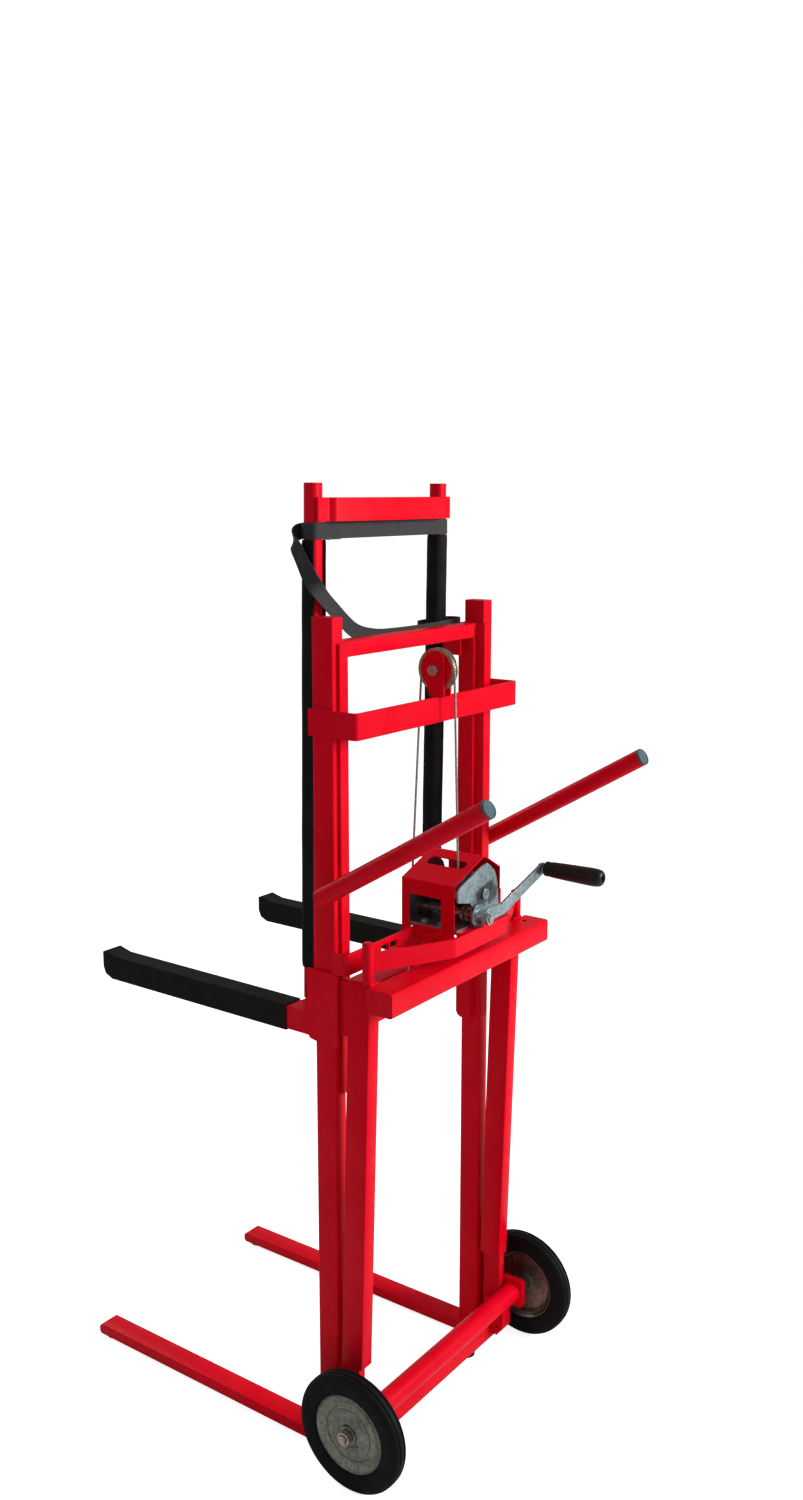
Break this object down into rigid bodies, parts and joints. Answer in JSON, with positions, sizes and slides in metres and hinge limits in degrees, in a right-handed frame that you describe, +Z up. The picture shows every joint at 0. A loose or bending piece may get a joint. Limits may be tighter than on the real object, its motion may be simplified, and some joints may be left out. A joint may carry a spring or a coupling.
{
  "type": "manual stacker",
  "caption": "Hand-winch stacker: a mast on floor legs and wheels, with a sliding carriage of forks and padded uprights, raised by a geared crank and steel cable.",
  "frame": {"origin": "on the floor, at the middle of the footprint's bounding box", "axes": "+Z up, +Y towards the forks' tips and the load, -Y towards the operator, +X to the operator's right"},
  "size_m": [0.582, 0.8792, 1.594],
  "materials": {
    "red_paint": "semi-gloss powder coat",
    "zinc": "bright zinc plating",
    "steel": "plain steel, slightly dulled",
    "cable": "stranded wire rope",
    "black_rubber": "matt",
    "tyre": "matt",
    "black_foam": "matt closed-cell foam",
    "black_plastic": "satin",
    "webbing": "woven"
  },
  "bodies": {
    "mast": {"axle_carrier": "red_paint", "axle_nut_left": "steel", "axle_nut_right": "steel", "axle_shaft": "steel", "base_cross_bar": "red_paint", "cable_winch_run": "cable", "cross_member": "red_paint", "drum_axle": "zinc", "front_foot_left": "black_rubber", "front_foot_right": "black_rubber", "guard_bar": "red_paint", "handle_left": "red_paint", "handle_plug_left": "black_plastic", "handle_plug_right": "black_plastic", "handle_right": "red_paint", "leg_left": "red_paint", "leg_right": "red_paint", "mast_post_left": "red_paint", "mast_post_right": "red_paint", "mid_hoop": "red_paint", "pulley_bolt": "steel", "rear_foot_left": "black_rubber", "rear_foot_right": "black_rubber", "rear_strut_left": "red_paint", "rear_strut_right": "red_paint", "winch_cover": "red_paint", "winch_frame": "zinc", "winch_hoop": "red_paint"},
    "carriage": {"guide_channel_left": "red_paint", "guide_channel_right": "red_paint", "carriage_top_tube": "red_paint", "carriage_low_tube": "red_paint", "fork_left": "red_paint", "fork_right": "red_paint", "fork_sleeve_left": "black_rubber", "fork_sleeve_right": "black_rubber", "fork_cross_tube": "red_paint", "upright_left": "red_paint", "upright_right": "red_paint", "carriage_bar": "red_paint", "pad_left": "black_foam", "pad_right": "black_foam", "strap_loop": "webbing", "strap_tail": "webbing", "strap_buckle": "zinc", "cable_carriage_run": "cable"},
    "pulley": {"pulley_sheave": "red_paint"},
    "drum": {"winch_drum": "zinc", "cable_on_drum": "cable"},
    "crank": {"crank_shaft": "steel", "brake_disc": "zinc", "crank_arm": "zinc", "crank_nut": "zinc"},
    "grip": {"crank_grip": "black_plastic"},
    "pawl": {"ratchet_pawl": "red_paint"},
    "wheel_left": {"tyre_left": "tyre", "wheel_disc_left": "zinc"},
    "wheel_right": {"tyre_right": "tyre", "wheel_disc_right": "zinc"},
    "buckle": {"buckle_lever": "zinc"}
  },
  "joints": [
    {"name": "lift", "type": "slide", "parent": "mast", "child": "carriage", "axis": [0, 0, 1], "range_m": [-0.57, 0], "deforming": ["cable_carriage_run"]},
    {"name": "drum_spin", "type": "hinge", "parent": "mast", "child": "drum", "pos_m": [0.03271, -0.24051, 0.93064], "axis": [0, 1, 0], "range_deg": [-1, 1130]},
    {"name": "crank_spin", "type": "hinge", "parent": "mast", "child": "crank", "pos_m": [0.007, -0.27241, 0.9], "axis": [0, 1, 0], "range_deg": [-3382, 1]},
    {"name": "pulley_spin", "type": "hinge", "parent": "mast", "child": "pulley", "pos_m": [0, -0.18101, 1.3], "axis": [1, 0, 0], "range_deg": [-1007, 1]},
    {"name": "grip_spin", "type": "hinge", "parent": "crank", "child": "grip", "pos_m": [0.166, -0.29201, 0.95], "axis": [0, 1, 0], "continuous": true},
    {"name": "pawl_pivot", "type": "hinge", "parent": "mast", "child": "pawl", "pos_m": [0.062, -0.23151, 0.906], "axis": [0, 1, 0], "range_deg": [0, 12], "stiffness_Nm_per_rad": 0.05, "springref_deg": -17.19},
    {"name": "wheel_left_spin", "type": "hinge", "parent": "mast", "child": "wheel_left", "pos_m": [-0.2637, -0.20351, 0.1], "axis": [1, 0, 0], "continuous": true},
    {"name": "wheel_right_spin", "type": "hinge", "parent": "mast", "child": "wheel_right", "pos_m": [0.2637, -0.20351, 0.1], "axis": [1, 0, 0], "continuous": true},
    {"name": "buckle_hinge", "type": "hinge", "parent": "carriage", "child": "buckle", "pos_m": [-0.1, -0.03881, 1.5215], "axis": [0, 0, 1], "range_deg": [0, 60], "stiffness_Nm_per_rad": 0.02, "springref_deg": -11.46}
  ],
  "couplings": [
    {"joint": "drum_spin", "follows": "lift", "rad_per_m": -34.483},
    {"joint": "crank_spin", "follows": "lift", "rad_per_m": 103.45},
    {"joint": "pulley_spin", "follows": "lift", "rad_per_m": 30.769}
  ]
}
